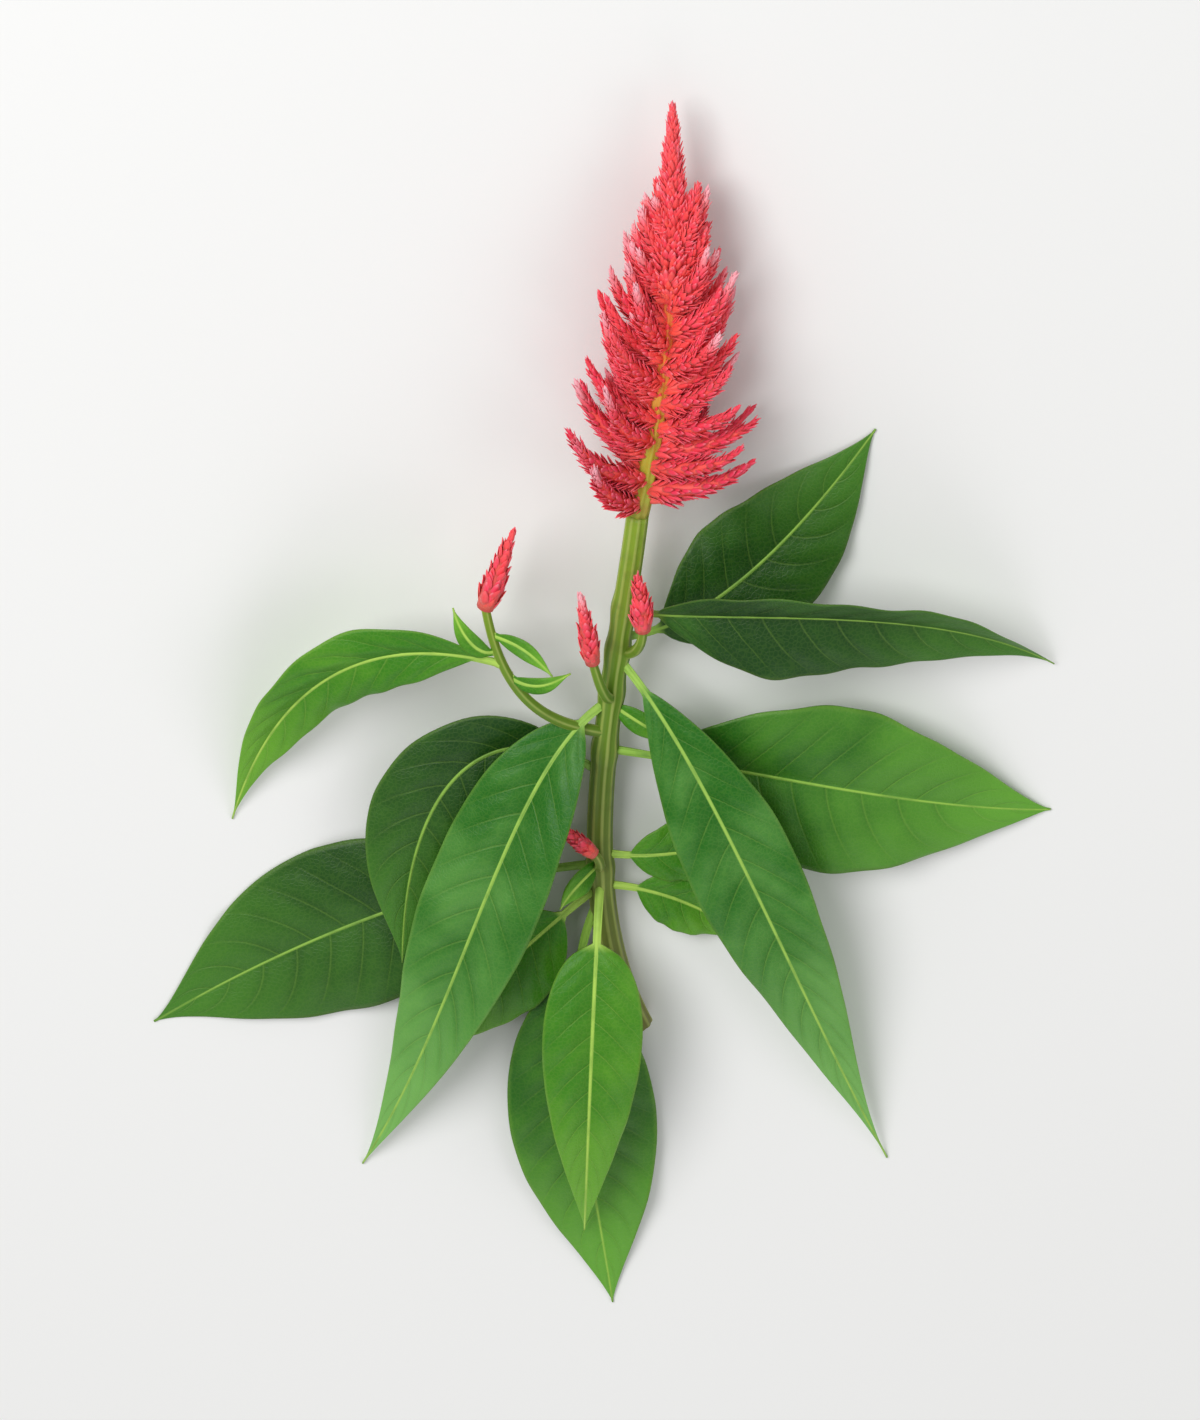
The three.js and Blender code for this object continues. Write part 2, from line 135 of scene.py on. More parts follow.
class GrowthLine:
    """A line that bends by its points, laid out in mm, read in metres by share of its length."""

    SAMPLES = 200

    def __init__(self, *points):
        self.points = [(Vector(p) - MIDDLE) * MM for p in points]
        self.reached = [0.0]
        last = self._at(0.0)
        for n in range(1, self.SAMPLES + 1):
            here = self._at(n / self.SAMPLES)
            self.reached.append(self.reached[-1] + (here - last).length)
            last = here
        self.length = self.reached[-1]

    def _at(self, t):
        """The place on the curve at t from 0 to 1, which runs unevenly along it."""
        row = self.points
        while len(row) > 1:
            row = [a.lerp(b, t) for a, b in zip(row, row[1:])]
        return row[0]

    def _t(self, share):
        """The curve's t at a share of its length."""
        wanted = clamp01(share) * self.length
        low, high = 0, self.SAMPLES
        while high - low > 1:
            half = (low + high) // 2
            low, high = (half, high) if self.reached[half] <= wanted else (low, half)
        span = self.reached[high] - self.reached[low]
        return (low + (wanted - self.reached[low]) / span) / self.SAMPLES

    def place(self, share):
        return self._at(self._t(share))

    def ahead(self, share):
        t = self._t(share)
        return (self._at(min(1.0, t + 1e-4)) - self._at(max(0.0, t - 1e-4))).normalized()

    def mm(self, share):
        """A place on the line in the layout's mm, as a root for another line."""
        return self.place(share) / MM + MIDDLE


def add_rod(bm, line, radius_at, sides, steps, ribs=0, depth=0.0, layer=None, material=0):
    """Adds a closed rod along a growth line. radius_at gives mm, from share 0 to 1.

    Ribs stand out by a share of the radius, and the layer keeps 1 on a rib and 0 between two.
    """
    older = len(bm.verts)
    bmesh.ops.create_cone(
        bm, cap_ends=True, cap_tris=True, segments=sides, radius1=1, radius2=1, depth=1
    )
    bm.verts.ensure_lookup_table()
    foot = [vert for vert in bm.verts[older:] if vert.co.z < 0]
    upright = [edge for vert in foot for edge in vert.link_edges if edge.other_vert(vert).co.z > 0]
    bmesh.ops.subdivide_edges(bm, edges=upright, cuts=steps - 1, use_grid_fill=True)
    bm.verts.ensure_lookup_table()
    rod = bm.verts[older:]
    for vert in rod:
        share = clamp01(vert.co.z + 0.5)
        spoke = Vector((vert.co.x, vert.co.y))
        angle = Vector((1, 0)).angle_signed(spoke, 0.0) if spoke.length > 0 else 0.0
        ridge = cos(ribs * angle)
        reach = MM * radius_at(share) * spoke.length * (1 + depth * ridge)
        ahead = line.ahead(share)
        level = ahead.cross(UP).normalized()
        above = level.cross(ahead)
        vert.co = line.place(share) + reach * (cos(angle) * level + sin(angle) * above)
        vert.co.z = max(vert.co.z, 0.0)
        if layer:
            vert[layer] = 0.5 + 0.5 * ridge
    for face in {f for v in rod for f in v.link_faces}:
        face.material_index = material
    return rod


CUT_RADIUS = 3.9
NECK_RADIUS = 3.0
STEM_RIBS = 9
STALK_RIBS = 5
NODE_SHARES = (0.32, 0.55, 0.66, 0.74, 0.82)  # where leaves leave the stem
NODE_REACH = 0.035  # share of the stem on each side of a node along which it swells
NODE_SWELLING = 0.5
STALK_ROOT_RADIUS = 1.7
STALK_TIP_RADIUS = 1.2
STEM_LINE = GrowthLine((5, -52, 3.9), (-16, -5, 7), (-2, 60, 13), (4.2, 119, 17.5))
SIDE_SHOOT = GrowthLine((-3.2, 47, 11.5), (-16, 54, 20), (-32, 60, 25), (-37.2, 94.7, 26.2))
STALKS = (
    GrowthLine((-2.8, 60, 13), (-3.8, 60, 19), (-6, 67, 22.4), (-8, 76, 23.4)),
    GrowthLine((0.6, 74, 14), (3.4, 75, 18), (5.6, 80, 22), (5.7, 86.6, 23.8)),
    GrowthLine((-6.4, 4, 8.8), (-6.2, 4, 14), (-5.2, 8.6, 17), (-7.6, 11.5, 17.2)),
)


def stem_radius(share):
    near = max(max(0.0, 1 - abs(share - node) / NODE_REACH) for node in NODE_SHARES)
    return mix(CUT_RADIUS, NECK_RADIUS, share) + NODE_SWELLING * near * near * (3 - 2 * near)


def stalk_radius(share):
    return mix(STALK_ROOT_RADIUS, STALK_TIP_RADIUS, share)


def add_node(tree, kind, links=(), **values):
    """Adds a shader node, sets its values, and feeds its inputs from sockets or constants."""
    node = tree.nodes.new(kind)
    for key, value in values.items():
        setattr(node, key, value)
    for socket, source in links:
        if hasattr(source, "is_output"):
            tree.links.new(source, node.inputs[socket])
        else:
            node.inputs[socket].default_value = source
    return node


def own_place(tree):
    """Places by the piece's own coordinates."""
    return add_node(tree, "ShaderNodeTexCoord").outputs["Object"]


def blend_colours(tree, share, first, second):
    links = ((0, share), (6, first), (7, second))
    return add_node(tree, "ShaderNodeMix", links, data_type="RGBA").outputs[2]


def in_range(tree, value, low, high, start=0.0, end=1.0, way="SMOOTHSTEP"):
    """Maps a value from one range onto another, held at both ends."""
    links = (
        ("Value", value), ("From Min", low), ("From Max", high), ("To Min", start), ("To Max", end)
    )
    return add_node(tree, "ShaderNodeMapRange", links, interpolation_type=way).outputs[0]


def reckon(tree, operation, first, second=0.0):
    links = ((0, first), (1, second))
    return add_node(tree, "ShaderNodeMath", links, operation=operation).outputs[0]


def times(tree, first, second):
    return reckon(tree, "MULTIPLY", first, second)


def noise(tree, place, scale, detail):
    links = (("Vector", place), ("Scale", scale), ("Detail", detail))
    return add_node(tree, "ShaderNodeTexNoise", links).outputs[0]


def bump(tree, shader, height, strength, distance):
    links = (("Height", height), ("Strength", strength), ("Distance", distance))
    node = add_node(tree, "ShaderNodeBump", links)
    tree.links.new(node.outputs[0], shader.inputs["Normal"])


def srgb(red, green, blue):
    """A colour written as 0 to 255, as a shader takes it."""
    shares = [c / 255 for c in (red, green, blue)]
    linear = [c / 12.92 if c <= 0.04045 else ((c + 0.055) / 1.055) ** 2.4 for c in shares]
    return (*linear, 1.0)


def mask_group(name, inputs, masks):
    """A new shader node group that puts out masks, and the node that its inputs come from."""
    group = bpy.data.node_groups.new(name, "ShaderNodeTree")
    for socket, kind in inputs:
        group.interface.new_socket(socket, in_out="INPUT", socket_type=kind)
    for socket in masks:
        group.interface.new_socket(socket, in_out="OUTPUT", socket_type="NodeSocketFloat")
    return group, add_node(group, "NodeGroupInput")


def use_group(tree, group, links):
    return add_node(tree, "ShaderNodeGroup", links, node_tree=group).outputs


def plant_skin_group():
    """Skin of a juicy stem: fine streaks along the flower, and mottle."""
    group, inlet = mask_group(
        "plant_skin",
        (("Vector", "NodeSocketVector"), ("Streak Scale", "NodeSocketFloat")),
        ("Mottle", "Height"),
    )
    place = inlet.outputs["Vector"]
    drawn_out = add_node(
        group, "ShaderNodeMapping", (("Vector", place), ("Scale", (1.0, 0.12, 1.0)))
    )
    streaks = noise(group, drawn_out.outputs[0], inlet.outputs["Streak Scale"], 3.0)
    mottle = noise(group, place, 140.0, 4.0)
    height = reckon(group, "ADD", times(group, streaks, 0.6), times(group, mottle, 0.4))
    add_node(group, "NodeGroupOutput", (("Mottle", mottle), ("Height", height)))
    return group


plant_skin = plant_skin_group()
HUES_FROM, HUES_TO = -0.11, 0.195  # in metres along the flower, for the ramps below


def along_flower(tree, place, stops):
    """A colour ramp along the flower, from below the cut end to the plume's tip."""
    split = add_node(tree, "ShaderNodeSeparateXYZ", ((0, place),))
    share = in_range(tree, split.outputs["Y"], HUES_FROM, HUES_TO, way="LINEAR")
    ramp = add_node(tree, "ShaderNodeValToRGB", ((0, share),))
    marks = ramp.color_ramp.elements
    for mark, (position, hue) in ((marks[0], stops[0]), (marks[1], stops[-1])):
        mark.position, mark.color = position, srgb(*hue)
    for position, hue in stops[1:-1]:
        marks.new(position).color = srgb(*hue)
    return ramp.outputs[0]


def mottled(tree, skin, hue, spots, low, high, share):
    """Brings in a second colour as the skin's mottle goes from low to high, up to a share."""
    return blend_colours(tree, in_range(tree, skin["Mottle"], low, high, 0.0, share), hue, spots)


stem_skin, tree, shader = principled(
    "green_stem_skin",
    0.48,
    Specular_IOR_Level=0.3,
    Subsurface_Weight=0.06,
    Subsurface_Scale=0.002,
)
place = own_place(tree)
skin = use_group(tree, plant_skin, (("Vector", place), ("Streak Scale", 900.0)))
hue = along_flower(
    tree,
    place,
    (
        (0.0, (122, 118, 58)),
        (0.22, (104, 124, 48)),
        (0.42, (98, 134, 34)),
        (0.6, (134, 162, 44)),
    ),
)
ridge = add_node(tree, "ShaderNodeAttribute", attribute_name="ridge").outputs["Fac"]
pale_ridge = times(tree, in_range(tree, ridge, 0.45, 1.0), 0.5)
hue = blend_colours(tree, pale_ridge, hue, srgb(178, 190, 104))
hue = mottled(tree, skin, hue, srgb(92, 104, 42), 0.5, 0.75, 0.4)
tree.links.new(hue, shader.inputs["Base Color"])
bump(tree, shader, skin["Height"], 0.35, 0.0004)

cut_pith, tree, shader = principled("cut_pith", 0.6)
cells = add_node(tree, "ShaderNodeTexVoronoi", (("Vector", own_place(tree)), ("Scale", 1500.0)))
hue = blend_colours(tree, cells.outputs["Distance"], srgb(206, 214, 150), srgb(164, 178, 98))
tree.links.new(hue, shader.inputs["Base Color"])

bm = bmesh.new()
ridge_layer = bm.verts.layers.float.new("ridge")
add_rod(
    bm, STEM_LINE, stem_radius, sides=72, steps=110, ribs=STEM_RIBS, depth=0.045, layer=ridge_layer
)
cut_middle = STEM_LINE.place(0.0)
for face in bm.faces:  # the cut's own are the triangles at the lower end
    if (face.calc_center_median() - cut_middle).length < CUT_RADIUS * MM and len(face.verts) == 3:
        face.material_index = 1
for line, steps in ((SIDE_SHOOT, 40), *[(stalk, 16) for stalk in STALKS]):
    add_rod(bm, line, stalk_radius, 20, steps, ribs=STALK_RIBS, depth=0.05, layer=ridge_layer)
finished("stem_body", bm, [stem_skin, cut_pith], "stem", ["stem"])

# Leaves.
# Long lance-shaped leaves on short petioles, softly quilted between arching
# side veins, satin above and paler below, each grown from the stem's nodes.
PETIOLE_HALF = 1.3  # half a leaf's least width, near the petiole
TIP_HALF = 0.25  # and near the tip
TIP_DRAW = 0.3  # how far a blade's tip is drawn out
LEAF_THICKNESS = 0.4
LEAF_COLUMNS = 28
LEAF_STEP = 1.5 * MM  # length of a blade's mesh faces
LEAF_CLEARANCE = 0.6  # height above the table under which no blade sinks
MARGIN_DROP = 0.16  # how far a folded blade flattens towards its margin
GROOVE_DEPTH = 0.35  # of the groove above the midrib
GROOVE_SIDE = 0.07  # half its width, as a share of half the blade's
QUILTING_AT_PETIOLE = 1.725  # how far the skin rises between two side veins
QUILTING_AT_TIP = 0.5175
QUILTING_SIDE = 0.42  # share of half the blade's width by which it has risen to that
VEIN_SPACING = 15.0  # between the side veins of a long leaf, which has more than a short one
VEIN_SWEEP = 1.6  # how many vein spacings a side vein climbs on its way to the margin
VEIN_BOW = 1.3  # above 1, a side vein bows and climbs most near the margin
VEIN_CLOSING = 0.85  # under 1, side veins stand closer near the petiole
WAVE_STEP = 1.7  # radians by which the two margins wave out of step
RIPPLE = 0.9  # height of the small uneven ripple along a large leaf's margins
RIPPLE_BEAT = 5.5  # how many ripples there are along a leaf
RIPPLE_STARTS = (2.8, 0.9)  # radians at which it starts on the left margin and on the right
RIPPLE_SWELL = 0.37  # share of its beat at which it grows and fades
KEEL_DROP = 0.55  # how far a midrib's line runs below the blade
PETIOLE_RADIUS = 1.25
PETIOLE_FOOT = 0.015  # share of the leaf's length along which its petiole is wider at the stem
PETIOLE_FLARE = 1.25
RIB_RADIUS = 0.75
RIB_TIP_RADIUS = 0.2
RIB_CLEARANCE = 0.05

# Root, rise, fall and tip are the points that a leaf bends by, and petiole is the share of its
# length that is petiole. Roll turns the blade on its midrib and fold lifts its two halves, in
# degrees. Wave is the height of the waves along each margin. With a smaller belly the blade is
# widest nearer the petiole, and with a larger foot it narrows faster to its ends.
LEAVES = (
    {
        "name": "leaf_right_long",
        "root": STEM_LINE.mm(0.73),
        "rise": (23, 52, 34),
        "fall": (46, -22, 27),
        "tip": (75, -98, 0.5),
        "width": 32, "petiole": 0.06, "roll": -5, "fold": 15, "wave": 1.4, "waves": 2.2,
        "belly": 0.66, "foot": 1.3, "tone": "grown",
    },
    {
        "name": "leaf_left_long",
        "root": STEM_LINE.mm(0.645),
        "rise": (-31, 50, 31),
        "fall": (-44, -34, 27),
        "tip": (-73, -100, 0.5),
        "width": 36, "petiole": 0.06, "roll": -24, "fold": 20, "wave": 1.8, "waves": 2.4,
        "belly": 0.6, "foot": 1, "tone": "grown",
    },
    {
        "name": "leaf_right_broad",
        "root": STEM_LINE.mm(0.55),
        "rise": (30, 40, 17),
        "fall": (78, 22, 12),
        "tip": (119, 16, 0.5),
        "width": 55, "petiole": 0.12, "roll": -4, "fold": 12, "wave": 1.7, "waves": 2.1,
        "belly": 0.82, "foot": 0.9, "tone": "ripe",
    },
    {
        "name": "leaf_right_upper",
        "root": STEM_LINE.mm(0.815),
        "rise": (34, 94, 34),
        "fall": (88, 96, 26),
        "tip": (119, 63, 1.4),
        "width": 40, "petiole": 0.08, "roll": -24, "fold": 30, "wave": 1.5, "waves": 2,
        "belly": 0.62, "foot": 1.1, "tone": "shaded_dark",
    },
    {
        "name": "leaf_back_right",
        "root": STEM_LINE.mm(0.765),
        "rise": (22, 78, 9),
        "fall": (45, 100, 5),
        "tip": (69, 136, 0.5),
        "width": 38, "petiole": 0.12, "roll": 0, "fold": 10, "wave": 1.2, "waves": 2,
        "belly": 0.72, "foot": 1, "tone": "shaded_dark",
    },
    {
        "name": "leaf_left_under",
        "root": STEM_LINE.mm(0.5),
        "rise": (-30, 56, 15),
        "fall": (-60, 44, 17),
        "tip": (-61, -27, 11.5),
        "width": 34, "petiole": 0.12, "roll": 0, "fold": 8, "wave": 1.1, "waves": 2,
        "belly": 0.85, "foot": 1, "tone": "shaded_dark",
    },
    {
        "name": "leaf_side_shoot",
        "root": SIDE_SHOOT.mm(0.7),
        "rise": (-56, 88, 32),
        "fall": (-92, 84, 25),
        "tip": (-108, 13, 0.5),
        "width": 24, "petiole": 0.07, "roll": 12, "fold": 14, "wave": 1.5, "waves": 2,
        "belly": 0.66, "foot": 1.1, "tone": "fresh",
    },
    {
        "name": "leaf_left_low",
        "root": STEM_LINE.mm(0.325),
        "rise": (-42, 0, 7),
        "fall": (-88, -24, 0.8),
        "tip": (-131, -53, 0.2),
        "width": 52, "petiole": 0.13, "roll": -5, "fold": 10, "wave": 1.6, "waves": 2.2,
        "belly": 0.95, "foot": 1, "tone": "shaded_dark",
    },
    {
        "name": "leaf_left_short",
        "root": STEM_LINE.mm(0.285),
        "rise": (-20, -10, 18.5),
        "fall": (-36, -30, 15),
        "tip": (-57, -60, 3.6),
        "width": 31, "petiole": 0.18, "roll": 0, "fold": 12, "wave": 0.9, "waves": 1.6,
        "belly": 0.72, "foot": 0.9, "tone": "fresh",
    },
    {
        "name": "leaf_centre_front",
        "root": STEM_LINE.mm(0.302),
        "rise": (-7.5, -16, 33),
        "fall": (-9.5, -76, 32),
        "tip": (-10.4, -118, 7),
        "width": 28.5, "petiole": 0.16, "roll": 2, "fold": 12, "wave": 0.9, "waves": 1.8,
        "belly": 0.51, "foot": 0.95, "tone": "fresh",
    },
    {
        "name": "leaf_centre_back",
        "root": STEM_LINE.mm(0.267),
        "rise": (-21, -36, 13.5),
        "fall": (-8, -98, 6),
        "tip": (-2.4, -146.5, 0.5),
        "width": 42, "petiole": 0.14, "roll": 0, "fold": 9, "wave": 1.3, "waves": 2,
        "belly": 0.84, "foot": 0.9, "tone": "ripe",
    },
    {
        "name": "leaf_right_small",
        "root": STEM_LINE.mm(0.348),
        "rise": (8, 6, 11.5),
        "fall": (22, 8, 9.5),
        "tip": (40, 8, 2.4),
        "width": 19, "petiole": 0.18, "roll": 0, "fold": 9, "wave": 0.7, "waves": 1.5,
        "belly": 0.7, "foot": 1, "tone": "fresh",
    },
    {
        "name": "leaf_right_lowest",
        "root": STEM_LINE.mm(0.285),
        "rise": (7, -3, 10),
        "fall": (19, -9, 7),
        "tip": (37, -26, 1),
        "width": 19, "petiole": 0.2, "roll": 0, "fold": 10, "wave": 0.7, "waves": 1.5,
        "belly": 0.7, "foot": 1, "tone": "fresh",
    },
)
SMALL_LEAVES = (  # root, rise, fall, tip and width
    (SIDE_SHOOT.mm(0.63), (-23, 69, 29), (-19, 74, 31), (-14, 75, 28), 5.5),
    (SIDE_SHOOT.mm(0.78), (-39, 80, 29), (-44, 88, 30), (-46, 95, 27), 6),
    (SIDE_SHOOT.mm(0.86), (-29, 86, 30), (-24, 84, 33), (-19, 77, 33), 5.5),
    (STEM_LINE.mm(0.64), (3, 54, 16.5), (9, 50, 17), (15, 46, 15), 7),
    (STEM_LINE.mm(0.33), (-9, 4, 17), (-14, 3, 22), (-17, -5, 19.5), 7.5),
)
SMALL_LEAF_FORM = {
    "petiole": 0.06, "roll": 0, "fold": 16, "wave": 0.4, "waves": 1.5, "belly": 0.76, "foot": 1,
}


def leaf_line(leaf, drop=0.0):
    """A leaf's growth line, or one below it that meets it at the tip."""
    below = Vector((0.0, 0.0, drop))
    return GrowthLine(*[Vector(leaf[key]) - below for key in ("root", "rise", "fall")], leaf["tip"])


def up_blade(leaf, along):
    """How far up its blade a place along a leaf is, from 0 to 1, or below 0 on the petiole."""
    return (along - leaf["petiole"]) / (1 - leaf["petiole"])


def half_width(leaf, along):
    """Half a leaf's width: a narrow petiole, then a lance that draws out to a long tip."""
    up = clamp01(up_blade(leaf, along))
    sharpness = leaf["foot"] + TIP_DRAW * up * up
    outline = sin(pi * up ** leaf["belly"]) ** sharpness if 0 < up < 1 else 0.0
    return max(mix(PETIOLE_HALF, TIP_HALF, along), leaf["width"] / 2 * outline)


def vein_phase(count, across, up):
    """Counts the side veins: a whole number on each vein, the two sides half a step apart."""
    climb = count * max(up, 0.0) ** VEIN_CLOSING - VEIN_SWEEP * abs(across) ** VEIN_BOW
    return climb + (0.5 if across > 0 else 0.0)


def surface_height(leaf, across, along, half, vein_count, quilted):
    """How far a blade stands off the plane through its midrib: folded, waved and grooved.

    The leaf's width, in radians, starts its waves at a place of their own.
    """
    side = abs(across)
    on_right = across > 0
    fullness = clamp01((half - PETIOLE_HALF) / (leaf["width"] / 2))
    height = half * side * (sin(radians(leaf["fold"])) - MARGIN_DROP * side)
    turn = 2 * pi * leaf["waves"] * along + WAVE_STEP * on_right + leaf["width"]
    height += leaf["wave"] * fullness * side * side * sin(turn)
    height -= GROOVE_DEPTH * fullness * max(0.0, 1 - side / GROOVE_SIDE)
    if quilted:
        bulge = abs(sin(pi * vein_phase(vein_count, across, up_blade(leaf, along)))) ** 0.75
        bulge *= min(1.0, side / QUILTING_SIDE) ** 1.3 * (1 - side**3)
        height += mix(QUILTING_AT_PETIOLE, QUILTING_AT_TIP, along) * fullness * bulge
        beat = 2 * pi * RIPPLE_BEAT * along + RIPPLE_STARTS[on_right] + leaf["width"]
        swell = sin(RIPPLE_SWELL * beat + 1.0)
        height += RIPPLE * fullness * side * side * sin(beat) * swell
    return height


def leaf_mesh():
    """An empty bmesh with what the leaves' materials read: UV map, half width and vein count."""
    bm = bmesh.new()
    bm.loops.layers.uv.new("UVMap")
    bm.verts.layers.float_vector.new("blade")
    return bm


def add_leaf(bm, leaf, rows, columns, quilted=True):
    """Adds one leaf to a leaf mesh: a thin blade with a round petiole and rib."""
    line = leaf_line(leaf)
    turn = radians(leaf["roll"])
    squeeze = cos(radians(leaf["fold"]))
    vein_count = 3 + line.length / (VEIN_SPACING * MM)
    uv_layer = bm.loops.layers.uv["UVMap"]
    blade_layer = bm.verts.layers.float_vector["blade"]
    verts = bmesh.ops.create_grid(bm, x_segments=columns, y_segments=rows, size=1.0)["verts"]
    blade = list(dict.fromkeys(face for vert in verts for face in vert.link_faces))
    shares = {v: (v.co.x, 0.5 + 0.5 * v.co.y) for v in verts}
    for face in blade:
        for loop in face.loops:
            across, along = shares[loop.vert]
            loop[uv_layer].uv = (0.5 + 0.5 * across, up_blade(leaf, along))
    for vert in verts:
        across, along = shares[vert]
        ahead = line.ahead(along)
        level = ahead.cross(UP).normalized()
        above = level.cross(ahead)
        right = cos(turn) * level + sin(turn) * above
        normal = right.cross(ahead)
        half = half_width(leaf, along)
        height = surface_height(leaf, across, along, half, vein_count, quilted)
        vert.co = line.place(along) + MM * (across * half * squeeze * right + height * normal)
        vert.co.z = max(vert.co.z, LEAF_CLEARANCE * MM)
        vert[blade_layer] = (half, vein_count, 0.0)
    face_count = len(bm.faces)
    vert_count = len(bm.verts)
    bmesh.ops.solidify(bm, geom=blade, thickness=LEAF_THICKNESS * MM)
    bm.faces.ensure_lookup_table()
    bm.verts.index_update()
    for face in bm.faces[face_count:]:
        on_rim = any(vert.index < vert_count for vert in face.verts)
        face.material_index = 0 if on_rim else 1

    def rib_radius(share):
        if share < leaf["petiole"]:
            thick = mix(PETIOLE_RADIUS, RIB_RADIUS, clamp01(share / leaf["petiole"]))
        else:
            thick = mix(RIB_RADIUS, RIB_TIP_RADIUS, share)
        return thick * (PETIOLE_FLARE if share < PETIOLE_FOOT else 1.0)

    keel = leaf_line(leaf, KEEL_DROP)
    for vert in add_rod(bm, keel, rib_radius, sides=12, steps=rows, material=2):
        vert.co.z = max(vert.co.z, RIB_CLEARANCE * MM)


def vein_group():
    """Masks that follow a leaf's own UV map: side veins, painted shade in the creases beside them,
    midrib, margin and fine net.
    """
    group, inlet = mask_group(
        "leaf_veins",
        (
            ("Vector", "NodeSocketVector"),
            ("Place", "NodeSocketVector"),
            ("Half Width", "NodeSocketFloat"),
            ("Vein Count", "NodeSocketFloat"),
        ),
        ("Side Vein", "Crease Shade", "Midrib", "Along", "Edge", "Net"),
    )
    split = add_node(group, "ShaderNodeSeparateXYZ", ((0, inlet.outputs["Vector"]),))
    across = times(group, reckon(group, "SUBTRACT", split.outputs[0], 0.5), 2.0)
    side = reckon(group, "ABSOLUTE", across)
    along = split.outputs[1]
    half_step = times(group, reckon(group, "GREATER_THAN", across, 0.0), 0.5)
    risen = reckon(group, "POWER", reckon(group, "MAXIMUM", along, 0.0), VEIN_CLOSING)
    climb = times(group, risen, inlet.outputs["Vein Count"])
    sweep = times(group, reckon(group, "POWER", side, VEIN_BOW), VEIN_SWEEP)
    phase = reckon(group, "ADD", reckon(group, "SUBTRACT", climb, sweep), half_step)
    away = reckon(group, "PINGPONG", phase, 0.5)
    line = in_range(group, away, 0.012, 0.05, 1.0, 0.0)
    side_vein = times(group, line, in_range(group, side, 0.3, 0.98, 1.0, 0.25))
    # Painted crease shade: strongest in the groove along each side vein, where the skin sinks
    # between two bulges, and weaker towards the margin.
    hollow = in_range(group, away, 0.03, 0.3, 1.0, 0.0)
    crease_shade = times(group, hollow, in_range(group, side, 0.5, 1.0, 1.0, 0.2))
    rib_distance = times(group, side, inlet.outputs["Half Width"])
    narrowed = reckon(group, "ADD", rib_distance, times(group, along, 0.25))
    midrib = in_range(group, narrowed, 0.36, 0.72, 1.0, 0.0)
    petiole = in_range(group, along, -0.01, 0.02, 1.0, 0.0)
    cells = add_node(
        group,
        "ShaderNodeTexVoronoi",
        (("Vector", inlet.outputs["Place"]), ("Scale", 800.0)),
        feature="DISTANCE_TO_EDGE",
    )
    masks = {
        "Side Vein": side_vein,
        "Crease Shade": crease_shade,
        "Midrib": reckon(group, "MAXIMUM", midrib, petiole),
        "Along": along,
        "Edge": side,
        "Net": in_range(group, cells.outputs["Distance"], 0.02, 0.16, 1.0, 0.0),
    }
    add_node(group, "NodeGroupOutput", masks.items())
    return group


leaf_veins = vein_group()


def leaf_skins(tone, deep, light, vein, under):
    """Upper skin, paler underside and rib of one tone of leaf."""
    skins = []
    sides = (("top", deep, 0.13, 0.3), ("under", under, 0.35, 0.12))
    for side, base, vein_share, shine in sides:
        material, tree, shader = principled(f"leaf_{tone}_{side}", 0.46, Specular_IOR_Level=shine)
        place = own_place(tree)
        blade = add_node(tree, "ShaderNodeAttribute", attribute_name="blade").outputs["Vector"]
        form = add_node(tree, "ShaderNodeSeparateXYZ", ((0, blade),))
        links = (
            ("Vector", add_node(tree, "ShaderNodeUVMap", uv_map="UVMap").outputs[0]),
            ("Place", place),
            ("Half Width", form.outputs[0]),
            ("Vein Count", form.outputs[1]),
        )
        mask = use_group(tree, leaf_veins, links)
        cloud = noise(tree, place, 38.0, 3.0)
        # Darker near the petiole and paler towards the tip: partly the leaf's own colour, partly
        # painted shade near the petiole and a painted sheen towards the tip.
        hue = blend_colours(tree, in_range(tree, mask["Along"], 0.28, 1.0), base, light)
        hue = blend_colours(tree, in_range(tree, cloud, 0.4, 0.72, 0.0, 0.36), hue, light)
        # Painted shade: the grooves beside the side veins take the deep colour, less towards the
        # tip and with uneven gaps.
        crease_shade_fade = in_range(tree, mask["Along"], 0.2, 0.85, 0.9, 0.12)
        crease_shade_gaps = in_range(tree, cloud, 0.38, 0.6, 1.0, 0.45)
        crease_shade = times(tree, mask["Crease Shade"], times(tree, crease_shade_fade, crease_shade_gaps))
        hue = blend_colours(tree, crease_shade, hue, deep)
        for pale_line in (
            times(tree, mask["Net"], 0.05),
            times(tree, in_range(tree, mask["Edge"], 0.93, 1.0), 0.18),
            times(tree, mask["Side Vein"], vein_share),
            times(tree, mask["Midrib"], in_range(tree, mask["Along"], 0.2, 1.0, 0.85, 0.5)),
        ):
            hue = blend_colours(tree, pale_line, hue, vein)
        tree.links.new(hue, shader.inputs["Base Color"])
        sunk_veins = reckon(tree, "SUBTRACT", 0.6, times(tree, mask["Side Vein"], 0.6))
        sunk_net = reckon(tree, "SUBTRACT", sunk_veins, times(tree, mask["Net"], 0.16))
        bump(tree, shader, sunk_net, 0.45, 0.0006)
        skins.append(material)
    rib_skin, tree, shader = principled(f"leaf_{tone}_rib", 0.5, Specular_IOR_Level=0.25)
    skin = use_group(tree, plant_skin, (("Vector", own_place(tree)), ("Streak Scale", 700.0)))
    hue = mottled(tree, skin, vein, under, 0.4, 0.7, 0.5)
    tree.links.new(hue, shader.inputs["Base Color"])
    bump(tree, shader, skin["Height"], 0.3, 0.0003)
    return skins + [rib_skin]


